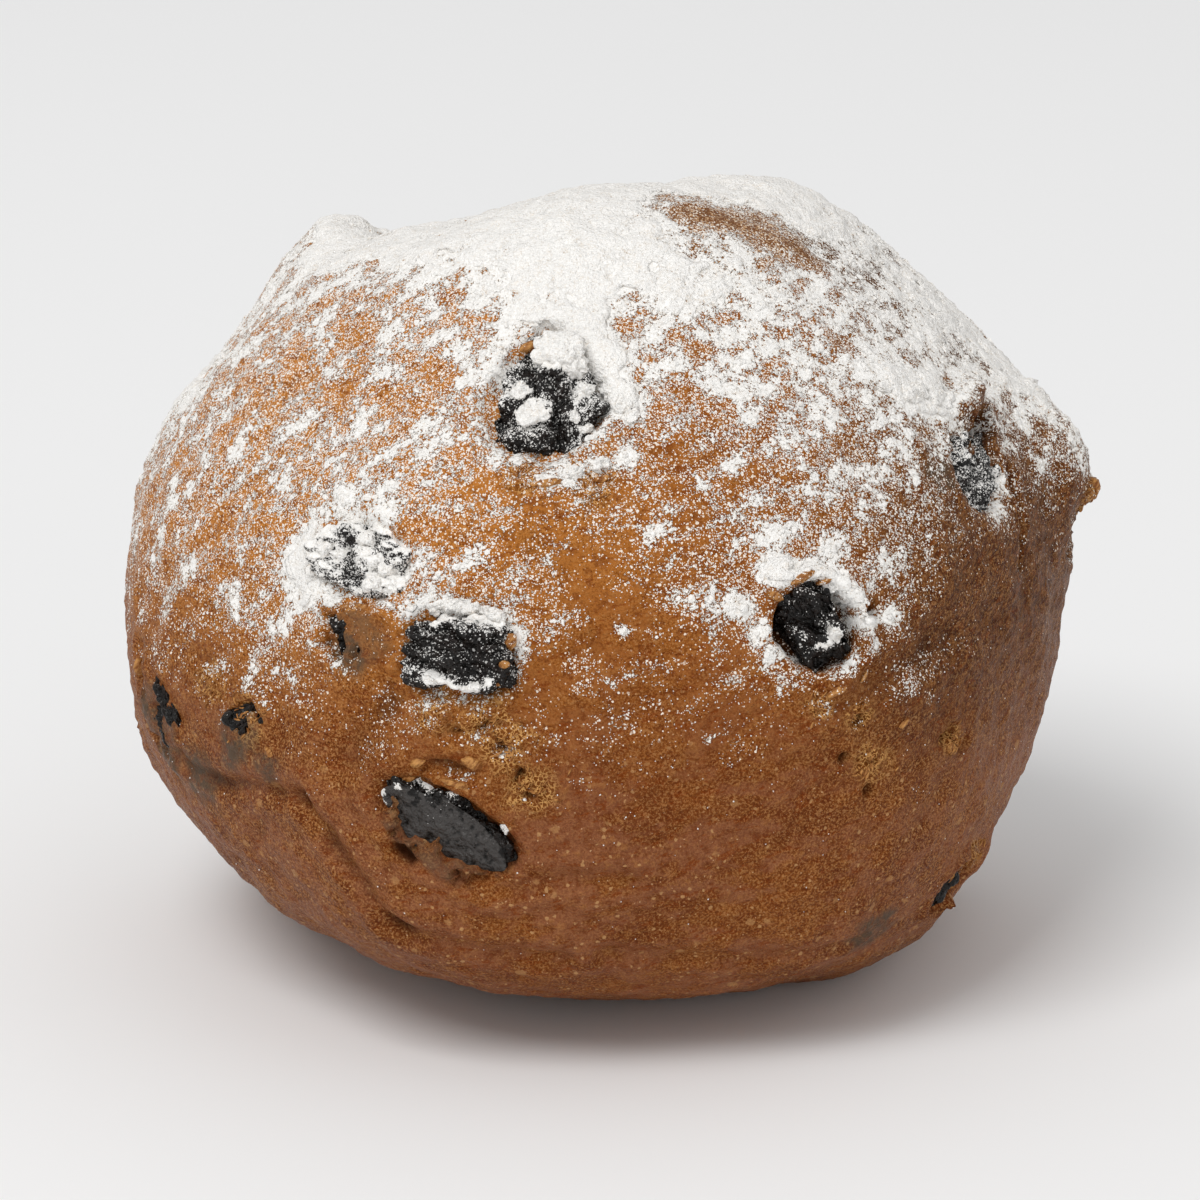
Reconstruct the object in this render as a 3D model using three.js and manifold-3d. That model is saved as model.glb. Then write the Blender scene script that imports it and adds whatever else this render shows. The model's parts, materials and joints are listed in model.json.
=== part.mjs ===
// An oliebol: a ball of deep-fried yeast dough with raisins in it, standing on the flat spot it was set down on.
// The dough is one solid. Each raisin that breaks its surface is a solid of its own, in a socket that it fits.
// Millimetres, +Z up. The origin is on the table, under the middle of the footprint, and -Y is the front.
import * as THREE from "three";
import { mergeVertices } from "three/addons/utils/BufferGeometryUtils.js";
import Module from "manifold-3d";

// ---- Driving sizes ----

const HALF_WIDTH = 42.5; // from the middle of the ball to its left and right sides
const CENTRE_HEIGHT = 34; // of the ball's middle over the table
const CORNER_SHARPNESS = 9; // how tightly the sides of the ball turn into each other
const DOUGH_DETAIL = 11; // splits of each edge of the icosahedron under the dough
const RAISIN_DETAIL = 2; // the same for the icosahedron under a raisin
const SOCKET_GAP = 0.3; // between a raisin and the dough around it

// The ball's sides: where each faces, and how far it lies from the middle as a share of HALF_WIDTH.
// Azimuth 0 faces the front and 90 the right. Both angles are in degrees.
const SIDES = [
  { name: "right", azimuth: 90, elevation: 0, reach: 1.055 },
  { name: "upper right", azimuth: 104, elevation: 43, reach: 1.01 },
  { name: "top right", azimuth: 118, elevation: 62, reach: 1.0 },
  { name: "top", azimuth: 180, elevation: 74, reach: 0.83 },
  { name: "top left", azimuth: -112, elevation: 56, reach: 0.92 },
  { name: "upper left", azimuth: -100, elevation: 33, reach: 1.05 },
  { name: "left", azimuth: -90, elevation: 0, reach: 1.06 },
  { name: "lower left", azimuth: -76, elevation: -40, reach: 1.05 },
  { name: "underside left", azimuth: -50, elevation: -62, reach: 0.98 },
  { name: "underside", azimuth: 0, elevation: -76, reach: 0.88 },
  { name: "underside right", azimuth: 60, elevation: -56, reach: 1.04 },
  { name: "lower right", azimuth: 80, elevation: -28, reach: 1.02 },
  { name: "front", azimuth: 5, elevation: -8, reach: 0.97 },
  { name: "front left", azimuth: -45, elevation: 5, reach: 1.0 },
  { name: "front right", azimuth: 57, elevation: 0, reach: 0.98 },
  { name: "front shoulder", azimuth: 10, elevation: 42, reach: 0.94 },
  { name: "left shoulder", azimuth: -45, elevation: 40, reach: 0.96 },
  { name: "right shoulder", azimuth: 60, elevation: 42, reach: 0.96 },
  { name: "back", azimuth: 180, elevation: 0, reach: 0.97 },
  { name: "back left", azimuth: -140, elevation: 0, reach: 1.0 },
  { name: "back right", azimuth: 135, elevation: -5, reach: 0.98 },
  { name: "back shoulder", azimuth: 170, elevation: 42, reach: 0.95 },
  { name: "back underside", azimuth: 180, elevation: -50, reach: 0.96 },
];

// Knobs and swells that stand out of the dough, and hollows that lie in it: height in mm, spread in degrees.
const LUMPS = [
  { name: "crown", azimuth: 112, elevation: 61, spread: 18, height: 3.4 },
  { name: "upper left knob", azimuth: -103, elevation: 50, spread: 10, height: 4.4 },
  { name: "notch beside the knob", azimuth: -112, elevation: 63, spread: 7, height: -2.8 },
  { name: "saddle left of the crown", azimuth: -70, elevation: 68, spread: 9, height: -1.5 },
  { name: "dip beyond the notch", azimuth: -145, elevation: 68, spread: 14, height: -2.8 },
  { name: "right knob", azimuth: 90, elevation: 16, spread: 7, height: 3.4 },
  { name: "lower right swell", azimuth: 62, elevation: -46, spread: 13, height: 1.4 },
  { name: "belly", azimuth: -8, elevation: -15, spread: 18, height: 1 },
  { name: "fold below the belly", azimuth: -46, elevation: -22, spread: 9, height: -1.3 },
  { name: "brow over the front raisins", azimuth: -27, elevation: 25, spread: 9, height: 1 },
  { name: "valley between the front raisins", azimuth: -4, elevation: 12, spread: 7, height: -0.9 },
  { name: "right cheek", azimuth: 34, elevation: 4, spread: 9, height: 1 },
  { name: "back swell", azimuth: 158, elevation: 24, spread: 13, height: 1.8 },
  { name: "back fold", azimuth: -163, elevation: 2, spread: 9, height: -1.6 },
  { name: "back knob", azimuth: -128, elevation: 22, spread: 7, height: 2.2 },
  { name: "back underside swell", azimuth: 150, elevation: -38, spread: 14, height: 1.4 },
];

// The raisins that break the surface, the ten that face the front first: length, width and thickness in mm, turn of
// the length from level in degrees, and how deep the raisin's middle lies under the dough's surface.
const RAISINS = [
  { name: "raisin_01", azimuth: -10, elevation: 38, size: [12, 9.5, 8], turn: 80, sink: 1.2 },
  { name: "raisin_02", azimuth: -31, elevation: 16, size: [9.5, 7.5, 6], turn: -10, sink: 1 },
  { name: "raisin_03", azimuth: -30, elevation: 7, size: [8, 5, 5], turn: 5, sink: 1.5 },
  { name: "raisin_04", azimuth: -17, elevation: 7, size: [9.5, 8.5, 7], turn: -5, sink: 0.6 },
  { name: "raisin_05", azimuth: -19, elevation: -14, size: [14, 7, 6], turn: -32, sink: 1.8 },
  { name: "raisin_06", azimuth: -66, elevation: -10, size: [9, 7, 5.5], turn: -60, sink: 2 },
  { name: "raisin_07", azimuth: -47, elevation: -7, size: [6.5, 5, 5], turn: 60, sink: 1.7 },
  { name: "raisin_08", azimuth: 25, elevation: 9, size: [10, 8, 7], turn: -50, sink: 1.8 },
  { name: "raisin_09", azimuth: 60, elevation: 23, size: [8.5, 7.5, 6], turn: 60, sink: 1.8 },
  { name: "raisin_10", azimuth: 55, elevation: -31, size: [5.5, 4.5, 4.5], turn: 60, sink: 1.4 },
  { name: "raisin_11", azimuth: 104, elevation: -8, size: [10, 7.5, 6], turn: 20, sink: 1.2 },
  { name: "raisin_12", azimuth: 135, elevation: 27, size: [11.5, 8, 6.5], turn: 10, sink: 1 },
  { name: "raisin_13", azimuth: 146, elevation: -18, size: [8.5, 7, 6], turn: 75, sink: 1.4 },
  { name: "raisin_14", azimuth: 177, elevation: 13, size: [12.5, 9, 7], turn: -25, sink: 0.8 },
  { name: "raisin_15", azimuth: -166, elevation: -24, size: [9, 7, 5.5], turn: 30, sink: 1.5 },
  { name: "raisin_16", azimuth: -146, elevation: 27, size: [9.5, 8, 6], turn: 60, sink: 1.3 },
  { name: "raisin_17", azimuth: -120, elevation: -6, size: [11, 7, 6], turn: -15, sink: 1.1 },
  { name: "raisin_18", azimuth: 163, elevation: 54, size: [10, 8, 6.5], turn: 5, sink: 1.2 },
];

// ---- Shapes ----

function direction({ azimuth, elevation }) {
  const a = THREE.MathUtils.degToRad(azimuth);
  const e = THREE.MathUtils.degToRad(elevation);
  return new THREE.Vector3(Math.sin(a) * Math.cos(e), -Math.cos(a) * Math.cos(e), Math.sin(e));
}

const sides = SIDES.map((side) => direction(side).divideScalar(side.reach * HALF_WIDTH));
const lumps = LUMPS.map((lump) => ({ ...lump, towards: direction(lump) }));

// Distance from the ball's middle to the dough's surface along a unit vector. The sides are flat faces that run
// smoothly into each other, and the table cuts the underside off flat.
function doughRadius(d) {
  const sum = sides.reduce((total, side) => total + Math.max(0, side.dot(d)) ** CORNER_SHARPNESS, 0);
  let radius = sum ** (-1 / CORNER_SHARPNESS);
  for (const lump of lumps) {
    const away = THREE.MathUtils.radToDeg(lump.towards.angleTo(d)) / lump.spread;
    radius += lump.height * Math.exp(-away * away);
  }
  return d.z < 0 ? Math.min(radius, CENTRE_HEIGHT / -d.z) : radius;
}

// Distance from a raisin's middle to its skin along a unit vector: a flattened egg with shrunken folds.
function raisinRadius(d, [length, width, thickness], seed) {
  const egg = new THREE.Vector3(d.x / length, d.y / width, d.z / thickness).length();
  const longFold = 0.08 * Math.sin(5 * d.y + 2 * d.z + 1.7 * seed);
  const crossFold = 0.05 * Math.sin(7 * d.x + 3 * d.z + 2.3 * seed);
  return (0.5 / egg) * (1 + longFold + crossFold);
}

// A closed ball of triangles whose vertices lie at radiusAlong(unit vector) from its middle.
function ballGeometry(detail, radiusAlong) {
  const geometry = new THREE.IcosahedronGeometry(1, detail);
  geometry.deleteAttribute("normal");
  geometry.deleteAttribute("uv");
  const ball = mergeVertices(geometry);
  const place = ball.getAttribute("position");
  const d = new THREE.Vector3();
  for (let i = 0; i < place.count; i++) {
    d.fromBufferAttribute(place, i).normalize();
    d.multiplyScalar(radiusAlong(d));
    place.setXYZ(i, d.x, d.y, d.z);
  }
  return ball;
}

// ---- Cutting the sockets ----

const wasm = await Module();
wasm.setup();

function toSolid(geometry) {
  return new wasm.Manifold(
    new wasm.Mesh({
      numProp: 3,
      vertProperties: new Float32Array(geometry.getAttribute("position").array),
      triVerts: new Uint32Array(geometry.index.array),
    }),
  );
}

function toGeometry(solid) {
  const mesh = solid.getMesh();
  return new THREE.BufferGeometry()
    .setAttribute("position", new THREE.BufferAttribute(new Float32Array(mesh.vertProperties), 3))
    .setIndex(new THREE.BufferAttribute(new Uint32Array(mesh.triVerts), 1));
}

// ---- The pieces ----

// A raisin lies flat in the surface, its length turned from level.
function raisinPose({ azimuth, elevation, turn, sink }) {
  const out = direction({ azimuth, elevation });
  const level = new THREE.Vector3(0, 0, 1).cross(out).normalize();
  const uphill = out.clone().cross(level);
  return new THREE.Matrix4()
    .makeBasis(level, uphill, out)
    .multiply(new THREE.Matrix4().makeRotationZ(THREE.MathUtils.degToRad(turn)))
    .setPosition(out.multiplyScalar(doughRadius(out) - sink));
}

function raisinMesh(raisin, seed) {
  const skin = new THREE.MeshStandardMaterial({ color: 0x1d1714, roughness: 0.45, metalness: 0 });
  const mesh = new THREE.Mesh(ballGeometry(RAISIN_DETAIL, (d) => raisinRadius(d, raisin.size, seed)), skin);
  mesh.name = raisin.name;
  mesh.applyMatrix4(raisinPose(raisin));
  return mesh;
}

function socketSolid(raisin, seed) {
  const roomy = ballGeometry(RAISIN_DETAIL, (d) => raisinRadius(d, raisin.size, seed) + SOCKET_GAP);
  return toSolid(roomy.applyMatrix4(raisinPose(raisin)));
}

function doughMesh() {
  const ball = toSolid(ballGeometry(DOUGH_DETAIL, doughRadius));
  const socketed = RAISINS.reduce((solid, raisin, seed) => solid.subtract(socketSolid(raisin, seed)), ball);
  const crust = new THREE.MeshStandardMaterial({ color: 0x8a4b22, roughness: 0.6, metalness: 0 });
  const mesh = new THREE.Mesh(toGeometry(socketed), crust);
  mesh.name = "dough";
  return mesh;
}

// ---- The whole, set on the table with its footprint centred on the origin ----

const oliebol = new THREE.Group();
oliebol.add(doughMesh());
RAISINS.forEach((raisin, seed) => oliebol.add(raisinMesh(raisin, seed)));

const extent = new THREE.Box3().setFromObject(oliebol);
const middle = extent.getCenter(new THREE.Vector3());
oliebol.position.set(-middle.x, -middle.y, CENTRE_HEIGHT);

export default oliebol;
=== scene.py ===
import json
import math
from statistics import NormalDist

import bmesh
import bpy
import numpy as np
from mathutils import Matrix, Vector, noise
from mathutils.bvhtree import BVHTree

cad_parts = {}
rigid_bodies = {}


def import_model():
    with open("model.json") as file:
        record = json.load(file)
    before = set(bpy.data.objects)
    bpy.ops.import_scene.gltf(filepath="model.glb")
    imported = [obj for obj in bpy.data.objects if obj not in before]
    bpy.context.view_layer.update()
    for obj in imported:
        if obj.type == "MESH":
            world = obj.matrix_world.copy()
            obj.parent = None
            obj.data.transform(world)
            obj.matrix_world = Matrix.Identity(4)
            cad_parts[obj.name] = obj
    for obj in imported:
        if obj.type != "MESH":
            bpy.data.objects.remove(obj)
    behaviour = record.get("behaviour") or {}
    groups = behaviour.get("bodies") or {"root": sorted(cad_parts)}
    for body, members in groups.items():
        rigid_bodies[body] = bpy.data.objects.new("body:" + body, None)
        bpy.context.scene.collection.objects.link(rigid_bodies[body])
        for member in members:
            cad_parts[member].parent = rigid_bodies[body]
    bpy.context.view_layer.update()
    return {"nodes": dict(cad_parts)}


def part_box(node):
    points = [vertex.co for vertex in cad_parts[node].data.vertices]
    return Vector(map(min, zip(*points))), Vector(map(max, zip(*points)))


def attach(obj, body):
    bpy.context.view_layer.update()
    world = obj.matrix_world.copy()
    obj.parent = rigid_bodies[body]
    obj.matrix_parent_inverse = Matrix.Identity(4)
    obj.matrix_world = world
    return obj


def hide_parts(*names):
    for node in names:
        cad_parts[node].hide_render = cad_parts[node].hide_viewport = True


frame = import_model()

# ---- The dough ----
# A ball of yeast dough dropped from a scoop into hot oil. It swells unevenly as it turns over, its skin sets
# as a thin leathery crust with pores, folds and tears, and where it is set down its underside presses flat.

MM = 0.001
CENTRE_HEIGHT = 34 * MM
DOUGH_LOW, DOUGH_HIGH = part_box("dough")
BALL_CENTRE = Vector(((DOUGH_LOW.x + DOUGH_HIGH.x) / 2, (DOUGH_LOW.y + DOUGH_HIGH.y) / 2, CENTRE_HEIGHT))
OUTSIDE = 80 * MM  # further from the middle than any of the dough
SOCKET_REACH = 0.7 * MM  # the skin this near to a raisin's solid lies in that raisin's socket
RAISIN_NODES = sorted(name for name in frame["nodes"] if name.startswith("raisin"))

# Folds in the crust: the points that each passes through, as azimuth (0 is the front, 90 the right) and
# elevation in degrees, and its width and depth in mm.
FOLDS = [
    ([(-72, -3), (-70, -11), (-62, -15), (-55, -15.5), (-47, -14), (-38, -13)], 0.9, 0.55),
    ([(-38, -13), (-31, -21), (-26, -28)], 1.1, 0.6),
    ([(-27, -27), (-17, -29.5), (-6, -31)], 1, 0.45),
    ([(0, -31), (13, -32.5), (25, -33), (36, -33)], 1, 0.4),
    ([(-9, 20), (-5.5, 17), (-1, 8)], 1.8, 0.6),
    ([(-24, 3), (-28, -2), (-31, -7)], 2.4, 0.6),
    ([(-12, -21), (-5, -19.5), (3, -20.5)], 0.9, 0.45),
    ([(69.7, 20), (69, 15), (66, 9)], 0.6, 0.6),
    ([(33, 2), (45, 5), (58, 4)], 1.6, 0.35),
    ([(150, 12), (160, -2), (-175, -12), (-158, -16)], 1.6, 0.9),
    ([(-100, 16), (-112, 6), (-118, -12), (-112, -26)], 1.5, 0.8),
    ([(118, 30), (124, 16), (121, 2)], 1.6, 0.7),
    ([(100, -26), (118, -32), (140, -33)], 1.3, 0.5),
]

# Holes, pits and small humps: azimuth, elevation, length, width, turn in degrees from level right, and height
# in mm, below 0 for a hole. A hole has steep ragged sides, a hump or a wide dip is round.
WIDE_DIP = 20  # mm long, from which a hole is a dip
MARK_REACH = 20  # mm from its middle, past which a hole or hump doesn't show
HOLES_AND_HUMPS = [
    (69, 27, 5, 2.2, 12, -4.8),  # over raisin_09, under a hood of crust
    (69.2, 31, 6.4, 2.4, 12, 1.9),
    (60.6, -31.6, 3, 2.6, 70, -2.4),  # down to raisin_10
    (65, -31, 5, 2.6, 80, 0.9),
    (57.5, -35.6, 1.2, 0.9, 0, -1.2),
    (32.3, 10.2, 1.8, 0.9, 15, -1.3),  # beside raisin_08
    (30.2, -2.4, 1.4, 1, 50, -1),
    (45.2, -7.4, 2, 0.9, 35, -1.2),
    (48.5, -9.5, 1.6, 0.8, 40, -0.8),
    (32.4, -11.2, 1, 1.3, 0, -0.9),
    (28.7, -6.9, 0.9, 0.8, 0, -0.8),
    (-19, -6.4, 5, 1.8, -3, -1.2),  # over raisin_05
    (-24.2, -17.2, 2.8, 1.4, -35, -1.3),  # under it
    (-38.7, 14.1, 0.8, 1.9, -10, -1.2),
    (-34.8, 8.4, 2.8, 1.2, -22, -1.6),  # cracks over raisin_03
    (-32.8, 6.2, 0.9, 1.9, 15, -1.8),
    (-35.4, 5.8, 1.2, 0.8, 0, -1.6),
    (-10.4, 48.2, 2.4, 1.6, 10, -1.3),  # behind raisin_01
    (-48.5, -6.2, 2.6, 0.9, -10, -1.2),  # over raisin_07
    (-70.5, -6.6, 1, 2, 10, -1.2),  # over raisin_06
    (-67, -9.2, 1.3, 1, 0, -1),
    (-14.5, -1.2, 1.5, 0.8, 40, -1.1),  # torn crumb beside raisin_04
    (-12.2, -3.6, 1.2, 0.9, 0, -1.1),
    (-10.1, -6.8, 1.2, 0.9, 30, -1.2),
    (-9, -9.4, 0.9, 0.8, 0, -1),
    (-17.4, -1.8, 1.6, 0.8, -20, -1),
    (92.4, 10.9, 4, 1.8, 0, 0.9),  # torn tip at the right, with the notch below it
    (92, 6.2, 8, 4.4, 0, -2),
    (94, 19.5, 3, 3, 0, -0.4),
    (93.5, 25, 1.6, 1.5, 0, 0.7),
    (90, 48, 24, 20, 0, -1.5),
    (101, 33, 30, 12, 0, -0.6),
    (178, 74, 24, 12, 0, -0.6),
    (-87, -12, 9, 8, 0, -0.9),
    (-109, 51, 6, 6, 0, 0.7),  # knob at the left, and the dip behind it
    (-117.6, 58.3, 22, 5.4, 0, -2.2),
    (150, 20, 2.2, 1.2, 30, -1.2),
    (-160, -5, 1.8, 1, -40, -1.1),
    (-125, -20, 1.6, 1.2, 0, -1),
    (115, -12, 2, 1, 60, -1.1),
    (170, -25, 1.5, 1, 0, -0.9),
    (-135, 8, 1.2, 1.6, 0, -0.9),
    (128, -2, 1.1, 0.9, 0, -0.8),
]


def towards(azimuth, elevation):
    """The unit vector that way from the middle of the ball."""
    a, e = math.radians(azimuth), math.radians(elevation)
    return Vector((math.sin(a) * math.cos(e), -math.cos(a) * math.cos(e), math.sin(e)))


def cad_copy(*nodes):
    """The nodes' meshes in one bmesh, their loose triangles merged."""
    copy = bmesh.new()
    for node in nodes:
        copy.from_mesh(frame["nodes"][node].data)
    bmesh.ops.remove_doubles(copy, verts=copy.verts, dist=0.001 * MM)
    return copy


def ripples(points, size, octaves, shift):
    """Noise about 0 at each point, its largest features of that size in mm."""
    offset = Vector((shift, 2.7 * shift, -1.3 * shift))
    scale = 1 / (size * MM)
    return np.array([noise.fractal(Vector(p) * scale + offset, 0.9, 2.0, octaves) for p in points])


def smoothstep(low, high, value):
    t = np.clip((value - low) / (high - low), 0, 1)
    return t * t * (3 - 2 * t)


def places(bm):
    return np.array([v.co for v in bm.verts])


def normals(bm):
    bm.normal_update()
    return np.array([v.normal for v in bm.verts])


def move_to(bm, points):
    for v, point in zip(bm.verts, points):
        v.co = point


def raised(points, facing, rise):
    """The points moved by so many mm, each the way it faces."""
    return points + facing * (rise * MM)[:, None]


def relax(bm, verts, times):
    for _ in range(times):
        bmesh.ops.smooth_vert(bm, verts=verts, factor=0.5, use_axis_x=True, use_axis_y=True, use_axis_z=True)


cad_dough = BVHTree.FromBMesh(cad_copy("dough"))
cad_raisins = BVHTree.FromBMesh(cad_copy(*RAISIN_NODES))


def hit(surface, azimuth, elevation):
    """The point of a surface that way from the middle, and the way it faces."""
    out = towards(azimuth, elevation)
    point, facing = surface.ray_cast(BALL_CENTRE + out * OUTSIDE, -out)[:2]
    return point, facing


def distance_to_route(points, route):
    """From each point to a line through a route's points on the dough."""
    nearest = np.full(len(points), 1.0)
    marks = [np.array(hit(cad_dough, *mark)[0]) for mark in route]
    for start, end in zip(marks, marks[1:]):
        along = np.clip((points - start) @ (end - start) / ((end - start) @ (end - start)), 0, 1)
        nearest = np.minimum(nearest, np.linalg.norm(points - start - along[:, None] * (end - start), axis=1))
    return nearest


def level_frame(out, turn=0):
    """Two directions across one that points out: to the right and uphill, both turned by so many degrees."""
    right = np.cross((0, 0, 1), out)
    right /= np.linalg.norm(right)
    uphill = np.cross(out, right)
    c, s = math.cos(math.radians(turn)), math.sin(math.radians(turn))
    return c * right + s * uphill, c * uphill - s * right


ball = bmesh.new()
bmesh.ops.create_icosphere(ball, subdivisions=4, radius=1)
bmesh.ops.subdivide_edges(ball, edges=ball.edges, cuts=11, use_grid_fill=True)
in_sockets = []
for v in ball.verts:
    out = v.co.normalized()
    v.co = cad_dough.ray_cast(BALL_CENTRE + out * OUTSIDE, -out)[0]
    if cad_raisins.find_nearest(v.co, SOCKET_REACH)[0] is not None:
        in_sockets.append(v)
relax(ball, in_sockets, 250)  # draws the skin level across the sockets
relax(ball, ball.verts, 26)  # and rounds off the solid's flats
smooth_points = places(ball)
smooth_normals = normals(ball)
smooth_dough = BVHTree.FromBMesh(ball)

# How far the crust stands over the smooth ball, in mm: broad swells, bumps, dimples, and wrinkles with sharp
# ridges, longer sideways than up.
height = 0.5 * ripples(smooth_points, 14, 2, 3)
height += 0.3 * ripples(smooth_points, 5.5, 2, 11)
height += 0.18 * ripples(smooth_points, 2.2, 3, 23)
height += 0.22 * (0.35 - np.abs(ripples(smooth_points * (0.6, 0.6, 1.2), 1.9, 2, 29)))
for route, width, depth in FOLDS:
    away = distance_to_route(smooth_points, route) / (width * MM)
    away *= 1 + 0.25 * ripples(smooth_points, 4, 1, 31)
    groove = np.exp(-(away**2))
    banks = 0.4 * np.exp(-((away - 2) ** 2))
    height += depth * (banks - groove)
hole_edges = 0.3 * ripples(smooth_points, 0.9, 2, 37)
for azimuth, elevation, length, width, turn, rise in HOLES_AND_HUMPS:
    middle = np.array(hit(smooth_dough, azimuth, elevation)[0])
    along, across = level_frame(np.array(towards(azimuth, elevation)), turn)
    rel = (smooth_points - middle) / MM
    far = np.abs(rel).max(axis=1) > MARK_REACH
    away = np.hypot(rel @ along / (length / 2), rel @ across / (width / 2)) + 9 * far
    if rise < 0 and length < WIDE_DIP:
        height += rise * (1 - smoothstep(0.55, 1.35, away + hole_edges))
    else:
        height += rise * np.exp(-(away**2))

# How each raisin sits: its top over the dough in mm, the height of the lip that the dough pulls up round it
# and where that lip is highest, in degrees from level right, the depth of the hollow that it sits in, and
# the share by which that is wider than the raisin.
SEATS = {
    "raisin_01": (1.5, 0.5, -90, 0.6, 0), "raisin_02": (1.2, 0.4, -60, 0.4, 0),
    "raisin_03": (0.2, 0.9, 80, 0.7, 0.05), "raisin_04": (2.4, 0.4, 20, 0.5, 0),
    "raisin_05": (0.3, 0.6, 110, 0.7, 0.05), "raisin_06": (0.1, 0.4, 200, 0.6, 0),
    "raisin_07": (0, 0.3, 90, 0.5, 0), "raisin_08": (0.7, 1.3, 35, 1.8, -0.18),
    "raisin_09": (-0.3, 0.4, 120, 0.5, 0.1), "raisin_10": (-0.7, 1, -10, 1.6, 0.05),
    "raisin_11": (-0.2, 0.4, 90, 0.8, 0), "raisin_17": (0.2, 0.4, 90, 0.8, 0),
}
# The raisins that the skin has partly closed over: the share of each that it covers, and from which side.
COVERED = {
    "raisin_03": (0.85, 40), "raisin_05": (0.28, -125), "raisin_06": (0.9, 60), "raisin_07": (0.86, -80),
    "raisin_09": (0.3, 80),
}
PLAIN_SEAT = (1.4, 0.6, 90, 0.8, 0.06)
SKIN_OVER_RAISIN = 0.4  # mm


def raisin_frame(node):
    """A raisin's middle, its length, width and outward directions, and its half sizes along them."""
    points = places(cad_copy(node))
    middle = points.mean(axis=0)
    out = np.array((Vector(middle) - BALL_CENTRE).normalized())
    flat = points - middle - np.outer((points - middle) @ out, out)
    along = np.linalg.svd(flat, full_matrices=False)[2][0]
    across = np.cross(out, along)
    half = [np.abs((points - middle) @ axis).max() for axis in (along, across, out)]
    return middle, along, across, out, half


def seat_height(node, seed):
    """How the dough rises and falls round a raisin in mm, and how far it stretches over it, at each point."""
    top, rim, rim_turn, dig, gap = SEATS.get(node, PLAIN_SEAT)
    middle, along, across, out, half = raisin_frame(node)
    rise = np.zeros(len(smooth_points))
    skin = np.zeros(len(smooth_points))
    near = np.where(np.linalg.norm(smooth_points - middle, axis=1) < 2.2 * half[0])[0]
    rel = smooth_points[near] - middle
    right, uphill = level_frame(out)
    turn = np.degrees(np.arctan2(rel @ uphill, rel @ right))
    reach = np.hypot(rel @ along / half[0], rel @ across / half[1])
    reach *= 1 + 0.14 * ripples(smooth_points[near], 2.5, 3, 40 + seed)
    # The edge is where the raisin's outline, taken as an ellipse, meets the smooth ball.
    sink = np.median((rel @ out)[reach < 0.5]) / half[2]
    edge = math.sqrt(1 - min(sink, 0.9) ** 2)
    inside = 1 - smoothstep(edge * (0.85 + gap), edge * (1.02 + gap), reach)
    facing = 0.5 + 0.5 * np.cos(np.radians(turn - rim_turn))
    lip = np.exp(-(((reach - edge * (1.2 + gap)) / 0.18) ** 2)) * (0.3 + 0.7 * facing)
    rise[near] = rim * lip - dig * inside
    if node in COVERED:
        cover, cover_turn = COVERED[node]
        side = np.cos(np.radians(turn - cover_turn)) * reach / edge
        ragged = side + 0.75 * ripples(smooth_points[near], 1.6, 3, 60 + seed)
        covered = smoothstep(1 - 2 * cover - 0.08, 1 - 2 * cover + 0.08, ragged)
        rise[near] += inside * covered * (dig + top + SKIN_OVER_RAISIN)
        skin[near] = inside * covered
    return rise, skin


stretched = np.zeros(len(smooth_points))
for seed, node in enumerate(RAISIN_NODES):
    rise, skin = seat_height(node, seed)
    height += rise
    stretched = np.maximum(stretched, skin)
dough_points = raised(smooth_points, smooth_normals, height)
dough_points[:, 2] = np.maximum(dough_points[:, 2], 0)
move_to(ball, dough_points)
dough_normals = normals(ball)

# Where the crust is torn open to the paler, stringy crumb: azimuth, elevation and spread in degrees.
TORN = [
    (-14, -0.4, 3.4), (-11.6, -4.2, 3.4), (-8.8, -8.6, 3.4), (-20, 0.2, 2.6), (-47, -5.5, 3), (-55, -3, 3),
    (32.5, -8, 2.4), (46, -8, 2), (30, -1.6, 1.8), (60, -29, 3), (90.7, 10.5, 2.2), (25, 0.4, 1.8),
    (-11, 28, 2.5), (-2, 27.5, 3), (150, 18, 4), (-158, -6, 4), (116, -13, 4), (-126, -19, 4), (172, -24, 3),
]
# Where a raisin just under the crust stains it grey, given in the same way.
STAINED = [
    (-31.5, 5.6, 2.6), (51.7, 24.4, 3), (39.2, -32.6, 4), (-69.5, -9.5, 3), (-60, -15.5, 4), (-50.2, -9.5, 3),
    (-66, -14, 3.5), (-44, -11, 2.2), (150, -20, 4), (-168, -22, 4), (-118, -4, 4), (106, -6, 4),
]


def ways(points):
    """The unit vector from the middle of the ball to each point."""
    rel = points - np.array(BALL_CENTRE)
    return rel / np.linalg.norm(rel, axis=1)[:, None]


def elevation_of(points):
    rel = points - np.array(BALL_CENTRE)
    return np.degrees(np.arcsin(rel[:, 2] / np.linalg.norm(rel, axis=1)))


def degrees_from(out, azimuth, elevation):
    """How many degrees each of the unit vectors lies from that way."""
    return np.degrees(np.arccos(np.clip(out @ np.array(towards(azimuth, elevation)), -1, 1)))


def patches(points, marks, seed):
    """1 in the middle of any of the marked patches, falling to 0 round their ragged edges."""
    out = ways(points)
    amount = np.zeros(len(points))
    ragged = 0.5 * ripples(points, 2.2, 3, seed)
    for azimuth, elevation, spread in marks:
        away = degrees_from(out, azimuth, elevation)
        amount = np.maximum(amount, 1 - smoothstep(0.5, 1.3, away / spread + ragged))
    return amount


torn = patches(dough_points, TORN, 101)
stain = np.maximum(patches(dough_points, STAINED, 103), 0.65 * stretched)
tufts = np.abs(ripples(dough_points, 0.9, 2, 107))
dough_points = raised(dough_points, dough_normals, torn * (0.5 - 1.7 * tufts) * 0.45)
dough_points[:, 2] = np.maximum(dough_points[:, 2], 0)
move_to(ball, dough_points)
dough_normals = normals(ball)

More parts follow.
